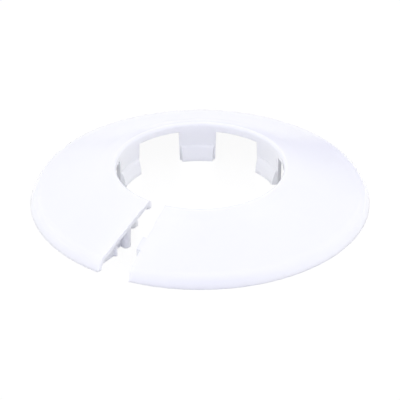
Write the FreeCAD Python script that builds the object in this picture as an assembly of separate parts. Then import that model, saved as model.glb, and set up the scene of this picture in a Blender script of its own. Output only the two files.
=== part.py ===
import FreeCAD, Part
import math
import os

# Radiator pipe collar: a split rosette, moulded in one piece, that is sprung open, put round a
# heating pipe and snapped shut. Millimetres, +Z up along the pipe, origin on the pipe's axis in
# the plane of the base rim, split towards -Y. It is drawn as moulded, with the split open.

# Pipe and split
pipe_diameter = 28.0
split_angle = 11.6
split_skew = 1.9  # how far the split is turned about the bore's edge, out of line with the axis

# Shell: skirt, shoulder, cone and lip
outer_diameter = 62.5
bore_diameter = 30.8
lip_height = 8.0  # where a straight cone and the bore wall would meet without the lip's rounding
easing_width = 3.1  # how far out from the bore the cone's slope begins to ease off
easing_drop = 0.22  # how much lower that makes the lip
easing_rounding = 12.0
shoulder_height = 2.3  # where the cone and the skirt would meet without the shoulder's rounding
skirt_draft = 1.0  # how far the skirt leans in below the shoulder
wall = 0.9
inner_shoulder_radius = 1.3
lip_radius = 0.6
flange_thickness = 1.0
flange_bottom = 5.95

# Gripping fingers
finger_count = 6
finger_turn = 1.75  # how far the ring of fingers is turned from the middle of the split
finger_root_width = 7.0
finger_tip_width = 6.6
finger_thickness = 0.75
tip_clearance = 0.05  # height of everything that ends just above the base rim
pad_width = 6.2
pad_bevel = 0.35
pad_top = 3.05
pad_ledge = 0.35  # how far the ledge at the pad's top stands out, sloping down as much
pad_edge_radius = 0.6
grip_top = 0.7

# Latch: a tongue on one side of the split, and its pocket of pin, end wall and stop on the other
tongue_inner_radius = 22.4
tongue_width = 2.7
tongue_reach = 1.3
tongue_root = 2.5
tongue_thickness = 1.4
slide_clearance = 0.12
pin_diameter = 2.0
pin_draft = 0.08  # how much narrower the pin's radius is at its end
pin_setback = 1.4
pin_chamfer = 0.25
end_wall_inner_radius = 24.2
end_wall_thickness = 1.0
end_wall_setback = 1.1
notch_margin = 0.6  # room in the end wall beyond the tongue's outer edge
notch_height = 2.2
bead_diameter = 0.8
bead_margin = 0.2  # from the end wall's inner edge to the bead
stop_clearance = 0.5  # from the closed tongue's tip to the stop behind it
stop_thickness = 0.8
stop_bottom = 0.4

# Worked out from the driving dimensions
outer_radius = outer_diameter / 2
bore_radius = bore_diameter / 2
flange_radius = bore_radius + flange_thickness
easing_radius = bore_radius + easing_width
shoulder_radius = inner_shoulder_radius + wall
shoulder_corner_radius = outer_radius - skirt_draft
cone_slope = math.atan2(lip_height - shoulder_height, shoulder_corner_radius - bore_radius)
skirt_slope = math.atan2(skirt_draft, shoulder_height)
# Closing the split draws every radius in, so the pads are moulded this much outside the pipe.
grip_radius = pipe_diameter / 2 * 360 / (360 - split_angle)
split_direction = -90
tongue_side_angle = split_direction + split_angle / 2
pin_side_angle = split_direction - split_angle / 2
tongue_outer_radius = tongue_inner_radius + tongue_width
notch_radius = tongue_outer_radius + notch_margin
pin_radius = pin_diameter / 2
pin_centre_radius = tongue_inner_radius - slide_clearance - pin_radius

ORIGIN = FreeCAD.Vector(0, 0, 0)
UP = FreeCAD.Vector(0, 0, 1)


def cone_height(radius, depth):
    """Height at a radius of the surface that lies a depth below the cone's top."""
    rise = (shoulder_corner_radius - radius) * math.tan(cone_slope)
    return shoulder_height + rise - depth / math.cos(cone_slope)


def skirt_radius(height, depth):
    """Radius at a height of the surface that lies a depth inside the skirt."""
    return outer_radius - height * math.tan(skirt_slope) - depth / math.cos(skirt_slope)


def shoulder_corner(depth):
    """Radius and height where the cone and the skirt meet, a depth inside the shell."""
    lean = math.tan(skirt_slope)
    fall = math.tan(cone_slope)
    height = cone_height(skirt_radius(0, depth), depth) / (1 - lean * fall)
    return skirt_radius(height, depth), height


def section(corners):
    """Face in the XZ plane through corners given as radius, height and rounding radius."""
    points = [FreeCAD.Vector(radius, 0, height) for radius, height, rounding in corners]
    edges = []
    joins = []
    for index, (radius, height, rounding) in enumerate(corners):
        corner = points[index]
        back = (points[index - 1] - corner).normalize()
        ahead = (points[(index + 1) % len(points)] - corner).normalize()
        half_angle = back.getAngle(ahead) / 2
        run = rounding / math.tan(half_angle)
        start = corner + back * run
        end = corner + ahead * run
        joins.append((start, end))
        if rounding > 0:
            inward = (back + ahead).normalize()
            middle = corner + inward * (rounding / math.sin(half_angle) - rounding)
            edges.append(Part.Arc(start, middle, end).toShape())
    for index, (start, end) in enumerate(joins):
        edges.append(Part.makeLine(joins[index - 1][1], start))
    return Part.Face(Part.Wire(Part.__sortEdges__(edges)))


def sector(face, angle):
    """Turns a radial section about the pipe's axis, evenly to both sides of +X."""
    start = face.copy()
    start.rotate(ORIGIN, UP, -angle / 2)
    return start.revolve(ORIGIN, UP, angle)


def plate(face, near, far):
    """Extrudes a radial section square to itself, from one distance along +Y to another."""
    start = face.copy()
    start.translate(FreeCAD.Vector(0, near, 0))
    return start.extrude(FreeCAD.Vector(0, far - near, 0))


def turned(shape, angle):
    """Copy of a shape turned about the pipe's axis."""
    copy = shape.copy()
    copy.rotate(ORIGIN, UP, angle)
    return copy


def skewed(shape):
    """Copy of a shape turned with the split about the bore's edge."""
    copy = shape.copy()
    copy.rotate(FreeCAD.Vector(0, -bore_radius, 0), UP, -split_skew)
    return copy


def make_gap():
    """Wedge of the split, from the axis out past the rim."""
    half_width = outer_diameter * math.sin(math.radians(split_angle / 2))
    reach = outer_diameter * math.cos(math.radians(split_angle / 2))
    outline = Part.makePolygon([
        FreeCAD.Vector(0, 0, -lip_height),
        FreeCAD.Vector(-half_width, -reach, -lip_height),
        FreeCAD.Vector(half_width, -reach, -lip_height),
        FreeCAD.Vector(0, 0, -lip_height),
    ])
    return skewed(Part.Face(outline).extrude(UP * 3 * lip_height))


def make_shell():
    """Skirt, shoulder, cone and down-turned flange round the bore, open at the split."""
    face = section([
        (outer_radius, 0, 0),
        (*shoulder_corner(0), shoulder_radius),
        (easing_radius, cone_height(easing_radius, 0), easing_rounding),
        (bore_radius, lip_height - easing_drop, lip_radius),
        (bore_radius, flange_bottom, 0),
        (flange_radius, flange_bottom, 0),
        (flange_radius, cone_height(flange_radius, wall), 0),
        (*shoulder_corner(wall), inner_shoulder_radius),
        (skirt_radius(0, wall), 0, 0),
    ])
    return turned(face, split_direction).revolve(ORIGIN, UP, 360).cut(make_gap())


def make_finger():
    """Thin finger that hangs from the flange on +X, with a bevelled gripping pad at its end."""
    finger_radius = bore_radius + finger_thickness
    spread = 360 / finger_count
    blade = sector(section([
        (bore_radius, tip_clearance, 0),
        (bore_radius, flange_bottom, 0),
        (finger_radius, flange_bottom, 0),
        (finger_radius, tip_clearance, 0),
    ]), spread)
    embed = finger_thickness / 2
    ramp = sector(section([
        (bore_radius + embed, pad_top + embed, 0),
        (bore_radius - pad_ledge, pad_top - pad_ledge, pad_edge_radius),
        (grip_radius, grip_top, 0),
        (grip_radius, tip_clearance, 0),
        (bore_radius + embed, tip_clearance, 0),
    ]), spread)
    return blade.common(make_finger_outline()).fuse(ramp.common(make_pad_outline()))


def make_finger_outline():
    """Prism along +X that narrows downwards and whose sides are the finger's."""
    outline = Part.makePolygon([
        FreeCAD.Vector(0, -finger_root_width / 2, flange_bottom),
        FreeCAD.Vector(0, finger_root_width / 2, flange_bottom),
        FreeCAD.Vector(0, finger_tip_width / 2, tip_clearance),
        FreeCAD.Vector(0, -finger_tip_width / 2, tip_clearance),
        FreeCAD.Vector(0, -finger_root_width / 2, flange_bottom),
    ])
    return Part.Face(outline).extrude(FreeCAD.Vector(outer_radius, 0, 0))


def make_pad_outline():
    """Upright prism, narrowing towards the axis, whose slanted sides are the pad's bevels."""
    wide = pad_width / 2
    narrow = wide - pad_bevel
    wide_place = math.sqrt(bore_radius ** 2 - wide ** 2)
    narrow_place = math.sqrt(grip_radius ** 2 - narrow ** 2)
    widening = pad_bevel / (wide_place - narrow_place)
    behind = bore_radius + finger_thickness
    before = narrow_place - finger_thickness
    half_behind = wide + (behind - wide_place) * widening
    half_before = wide + (before - wide_place) * widening
    outline = Part.makePolygon([
        FreeCAD.Vector(behind, -half_behind, 0),
        FreeCAD.Vector(behind, half_behind, 0),
        FreeCAD.Vector(before, half_before, 0),
        FreeCAD.Vector(before, -half_before, 0),
        FreeCAD.Vector(behind, -half_behind, 0),
    ])
    return Part.Face(outline).extrude(UP * flange_bottom)


def make_tongue():
    """Tongue that stands off the cone's underside, so that it slides under the other end."""
    top_depth = wall + slide_clearance
    bottom_depth = top_depth + tongue_thickness

    def slab(upper_depth):
        return section([
            (tongue_inner_radius, cone_height(tongue_inner_radius, bottom_depth), 0),
            (tongue_outer_radius, cone_height(tongue_outer_radius, bottom_depth), 0),
            (tongue_outer_radius, cone_height(tongue_outer_radius, upper_depth), 0),
            (tongue_inner_radius, cone_height(tongue_inner_radius, upper_depth), 0),
        ])

    blade = plate(slab(top_depth), -tongue_reach, tongue_root)
    root = plate(slab(wall / 2), 0, tongue_root)
    return turned(blade.fuse(root), tongue_side_angle)


def make_pin():
    """Upright pin under the cone, beside the tongue's path, with a chamfered end."""
    top = cone_height(pin_centre_radius, wall / 2)
    end_radius = pin_radius - pin_draft
    face = section([
        (0, tip_clearance, 0),
        (end_radius - pin_chamfer, tip_clearance, 0),
        (end_radius, tip_clearance + pin_chamfer, 0),
        (pin_radius, top, 0),
        (0, top, 0),
    ])
    pin = face.revolve(ORIGIN, UP, 360)
    pin.translate(FreeCAD.Vector(pin_centre_radius, -pin_setback, 0))
    return turned(pin, pin_side_angle)


def make_end_wall():
    """Wall across the hollow shell behind the split, notched for the tongue, with a bead."""
    embed = wall / 2
    face = section([
        (end_wall_inner_radius, tip_clearance, 0),
        (skirt_radius(tip_clearance, embed), tip_clearance, 0),
        (*shoulder_corner(embed), 0),
        (notch_radius, cone_height(notch_radius, embed), 0),
        (notch_radius, notch_height, 0),
        (end_wall_inner_radius, notch_height, 0),
    ])
    panel = plate(face, -end_wall_setback - end_wall_thickness, -end_wall_setback)
    bead_radius = bead_diameter / 2
    bead_place = end_wall_inner_radius + bead_margin + bead_radius
    bead_foot = FreeCAD.Vector(bead_place, -end_wall_setback, tip_clearance)
    bead = Part.makeCylinder(bead_radius, notch_height - tip_clearance, bead_foot)
    return turned(panel.fuse(bead), pin_side_angle)


def make_stop():
    """Web from the pin to the end wall, behind the tongue's closed place."""
    embed = wall / 2
    setback = tongue_reach + stop_clearance
    face = section([
        (pin_centre_radius, stop_bottom, 0),
        (notch_radius, stop_bottom, 0),
        (notch_radius, cone_height(notch_radius, embed), 0),
        (pin_centre_radius, cone_height(pin_centre_radius, embed), 0),
    ])
    return turned(plate(face, -setback - stop_thickness, -setback), pin_side_angle)


def make_collar():
    """The whole moulding as one solid."""
    step = (360 - split_angle) / finger_count
    first = tongue_side_angle + step / 2 + finger_turn
    finger = make_finger()
    fingers = [turned(finger, first + step * index) for index in range(finger_count)]
    latch = [skewed(piece) for piece in (make_tongue(), make_pin(), make_end_wall(), make_stop())]
    return make_shell().fuse(fingers + latch).removeSplitter()


os.makedirs("parts", exist_ok=True)
make_collar().exportStep("parts/pipe_collar.step")
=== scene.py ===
"""Looks of the radiator pipe collar: one glossy white moulding on a white table in soft studio light."""
import math

import bpy
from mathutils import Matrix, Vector

# Camera, from the photograph's viewing angle. Lengths in metres, angles in degrees.
CAMERA_AZIMUTH = 29.0
CAMERA_ELEVATION = 30.58
CAMERA_DISTANCE = 0.7656
CAMERA_TARGET = Vector((0.0, 0.0, 0.0001))
CAMERA_LENS = 373.9
SENSOR_WIDTH = 36.0

# Studio
FLOOR_SIZE = 6.0
FLOOR_DROP = 0.00002
FLOOR_WHITE = 1.0  # the table's colour, which is what sends light back to the collar
FLOOR_SHADE = 0.04  # share of its look that is lit and shaded, the rest being an even white
FLOOR_GLOW = 0.98  # strength of that white
FLOOR_COAT = 0.5
FLOOR_ROUGHNESS = 0.25
SKY_LEVEL = 1.06
# Colours of the sky by the sine of the elevation
SKY_COLOURS = [
    (0.0, (0.60, 0.60, 0.78)),
    (0.09, (0.86, 0.86, 0.96)),
    (0.30, (0.98, 0.98, 1.0)),
    (1.0, (1.0, 1.0, 0.99)),
]
# Dim and bright places in it: azimuth, elevation, angle of the core, angle where it has faded out, colour
SKY_PLACES = [
    (CAMERA_AZIMUTH + 180, 35.0, 5.0, 50.0, (0.82, 0.82, 0.89)),
    (CAMERA_AZIMUTH + 166, 3.0, 3.0, 27.0, (0.45, 0.44, 0.76)),
    (CAMERA_AZIMUTH, 5.0, 10.0, 60.0, (0.40, 0.40, 0.73)),
    (CAMERA_AZIMUTH - 75, 10.0, 10.0, 50.0, (1.08, 1.08, 1.10)),
    (CAMERA_AZIMUTH + 75, 10.0, 10.0, 50.0, (1.08, 1.08, 1.10)),
]
KEY_POWER = 0.70
KEY_SIZE = 0.8
KEY_DISTANCE = 0.8
KEY_AZIMUTH = CAMERA_AZIMUTH
KEY_ELEVATION = 60.0

# Moulded plastic
PLASTIC_SHADE = (0.945, 0.957, 0.985)
PLASTIC_TINT = (0.955, 0.967, 0.990)
PLASTIC_ROUGHNESS = (0.10, 0.15)
PLASTIC_IOR = 1.5
PLASTIC_DEPTH = 0.0012  # how far light travels under the surface
PLASTIC_SOFTNESS = 0.55  # share of the light that does
FLOW_SIZE = 0.018
FLOW_DETAIL = 3.0
FLOW_RANGE = (0.35, 0.65)  # noise values between which tint and gloss change
GRAIN_SIZE = 0.0006
GRAIN_DEPTH = 0.000004
GRAIN_STRENGTH = 0.2


def direction(azimuth, elevation):
    """Unit vector towards a place round the object, with azimuth 0 at -Y and 90 at +X."""
    turn = math.radians(azimuth)
    rise = math.radians(elevation)
    return Vector((math.sin(turn) * math.cos(rise), -math.cos(turn) * math.cos(rise), math.sin(rise)))


def link(tree, source, socket, target, target_socket):
    """Joins two nodes' sockets."""
    tree.links.new(source.outputs[socket], target.inputs[target_socket])


def add_ramp(tree, stops):
    """Colour ramp through (position, colour) stops."""
    ramp = tree.nodes.new("ShaderNodeValToRGB")
    elements = ramp.color_ramp.elements
    while len(elements) < len(stops):
        elements.new(0.5)
    for element, (position, colour) in zip(elements, stops):
        element.position = position
        element.color = (*colour, 1.0)
    return ramp


def make_plastic():
    """Glossy white plastic, a little translucent, with faint flow clouding, uneven gloss and a fine grain."""
    material = bpy.data.materials.new("white_plastic")
    material.use_nodes = True
    tree = material.node_tree
    shader = tree.nodes["Principled BSDF"]
    shader.inputs["IOR"].default_value = PLASTIC_IOR
    shader.inputs["Subsurface Weight"].default_value = PLASTIC_SOFTNESS
    shader.inputs["Subsurface Radius"].default_value = (1.0, 1.0, 1.0)
    shader.inputs["Subsurface Scale"].default_value = PLASTIC_DEPTH
    place = tree.nodes.new("ShaderNodeTexCoord")

    flow = tree.nodes.new("ShaderNodeTexNoise")
    flow.inputs["Scale"].default_value = 1 / FLOW_SIZE
    flow.inputs["Detail"].default_value = FLOW_DETAIL
    link(tree, place, "Object", flow, "Vector")
    tint = add_ramp(tree, [(FLOW_RANGE[0], PLASTIC_SHADE), (FLOW_RANGE[1], PLASTIC_TINT)])
    link(tree, flow, "Fac", tint, "Fac")
    link(tree, tint, "Color", shader, "Base Color")

    gloss = tree.nodes.new("ShaderNodeMapRange")
    gloss.inputs["From Min"].default_value = FLOW_RANGE[0]
    gloss.inputs["From Max"].default_value = FLOW_RANGE[1]
    gloss.inputs["To Min"].default_value = PLASTIC_ROUGHNESS[0]
    gloss.inputs["To Max"].default_value = PLASTIC_ROUGHNESS[1]
    link(tree, flow, "Fac", gloss, "Value")
    link(tree, gloss, "Result", shader, "Roughness")

    grain = tree.nodes.new("ShaderNodeTexNoise")
    grain.inputs["Scale"].default_value = 1 / GRAIN_SIZE
    link(tree, place, "Object", grain, "Vector")
    bump = tree.nodes.new("ShaderNodeBump")
    bump.inputs["Strength"].default_value = GRAIN_STRENGTH
    bump.inputs["Distance"].default_value = GRAIN_DEPTH
    link(tree, grain, "Fac", bump, "Height")
    link(tree, bump, "Normal", shader, "Normal")
    return material


def make_floor():
    """White table. The camera and mirroring surfaces see it nearly even, with a faint share of the shadow."""
    bpy.ops.mesh.primitive_plane_add(size=FLOOR_SIZE, location=(0, 0, -FLOOR_DROP))
    floor = bpy.context.object
    floor.name = "floor"
    material = bpy.data.materials.new("floor_white")
    material.use_nodes = True
    material.cycles.emission_sampling = "NONE"
    tree = material.node_tree
    look = tree.nodes["Principled BSDF"]
    look.inputs["Base Color"].default_value = (FLOOR_SHADE, FLOOR_SHADE, FLOOR_SHADE, 1.0)
    look.inputs["Specular IOR Level"].default_value = 0.0
    look.inputs["Emission Color"].default_value = (1.0, 1.0, 1.0, 1.0)
    look.inputs["Emission Strength"].default_value = FLOOR_GLOW
    look.inputs["Coat Weight"].default_value = FLOOR_COAT
    look.inputs["Coat Roughness"].default_value = FLOOR_ROUGHNESS
    table = tree.nodes.new("ShaderNodeBsdfDiffuse")
    table.inputs["Color"].default_value = (FLOOR_WHITE, FLOOR_WHITE, FLOOR_WHITE, 1.0)

    # Other rays meet the plain table, so the even white shows in the collar's gloss and doesn't light it
    rays = tree.nodes.new("ShaderNodeLightPath")
    mirrored = tree.nodes.new("ShaderNodeMath")
    link(tree, rays, "Is Glossy Ray", mirrored, 0)
    link(tree, rays, "Is Transmission Ray", mirrored, 1)
    seen = tree.nodes.new("ShaderNodeMath")
    seen.use_clamp = True
    link(tree, rays, "Is Camera Ray", seen, 0)
    link(tree, mirrored, "Value", seen, 1)
    mixed = tree.nodes.new("ShaderNodeMixShader")
    link(tree, seen, "Value", mixed, "Fac")
    link(tree, table, "BSDF", mixed, 1)
    link(tree, look, "BSDF", mixed, 2)
    link(tree, mixed, "Shader", tree.nodes["Material Output"], "Surface")
    floor.data.materials.append(material)


def tint_place(tree, way, colour, azimuth, elevation, core, edge, tint):
    """Turns the sky's colour to another within a core angle of a place, fading out to an edge angle."""
    nearness = tree.nodes.new("ShaderNodeVectorMath")
    nearness.operation = "DOT_PRODUCT"
    nearness.inputs[1].default_value = direction(azimuth, elevation)
    link(tree, way, "Generated", nearness, 0)
    share = tree.nodes.new("ShaderNodeMapRange")
    share.inputs["From Min"].default_value = math.cos(math.radians(edge))
    share.inputs["From Max"].default_value = math.cos(math.radians(core))
    link(tree, nearness, "Value", share, "Value")
    mixed = tree.nodes.new("ShaderNodeMixRGB")
    mixed.inputs["Color2"].default_value = (*tint, 1.0)
    link(tree, share, "Result", mixed, "Fac")
    link(tree, colour, "Color", mixed, "Color1")
    return mixed


def make_sky():
    """Studio round the table: a bright dome, dimmer at the horizon, with a few dim and bright places."""
    world = bpy.data.worlds.new("studio")
    bpy.context.scene.world = world
    world.use_nodes = True
    tree = world.node_tree
    background = tree.nodes["Background"]
    background.inputs["Strength"].default_value = SKY_LEVEL
    way = tree.nodes.new("ShaderNodeTexCoord")
    parts = tree.nodes.new("ShaderNodeSeparateXYZ")
    link(tree, way, "Generated", parts, "Vector")
    colour = add_ramp(tree, SKY_COLOURS)
    link(tree, parts, "Z", colour, "Fac")
    for place in SKY_PLACES:
        colour = tint_place(tree, way, colour, *place)
    link(tree, colour, "Color", background, "Color")


def make_key():
    """Large soft lamp, high at the front."""
    lamp = bpy.data.lights.new("key", "AREA")
    lamp.shape = "DISK"
    lamp.size = KEY_SIZE
    lamp.energy = KEY_POWER
    key = bpy.data.objects.new("key", lamp)
    key.location = direction(KEY_AZIMUTH, KEY_ELEVATION) * KEY_DISTANCE
    key.rotation_euler = (-key.location).to_track_quat("-Z", "Y").to_euler()
    bpy.context.scene.collection.objects.link(key)


def make_camera():
    """Long lens at the photograph's angle."""
    data = bpy.data.cameras.new("camera")
    data.lens = CAMERA_LENS
    data.sensor_width = SENSOR_WIDTH
    camera = bpy.data.objects.new("camera", data)
    back = direction(CAMERA_AZIMUTH, CAMERA_ELEVATION)
    camera.location = CAMERA_TARGET + back * CAMERA_DISTANCE
    camera.rotation_euler = (-back).to_track_quat("-Z", "Y").to_euler()
    bpy.context.scene.collection.objects.link(camera)
    bpy.context.scene.camera = camera


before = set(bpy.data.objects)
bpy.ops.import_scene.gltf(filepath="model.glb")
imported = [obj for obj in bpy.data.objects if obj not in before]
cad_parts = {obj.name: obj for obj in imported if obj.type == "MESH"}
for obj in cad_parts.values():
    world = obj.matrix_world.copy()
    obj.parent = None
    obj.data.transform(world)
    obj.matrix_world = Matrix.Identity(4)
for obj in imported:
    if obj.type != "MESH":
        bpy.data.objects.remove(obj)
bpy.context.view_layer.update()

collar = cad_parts["pipe_collar"]
collar.data.materials.clear()
collar.data.materials.append(make_plastic())

make_floor()
make_sky()
make_key()
make_camera()
bpy.context.scene.view_settings.view_transform = "Standard"
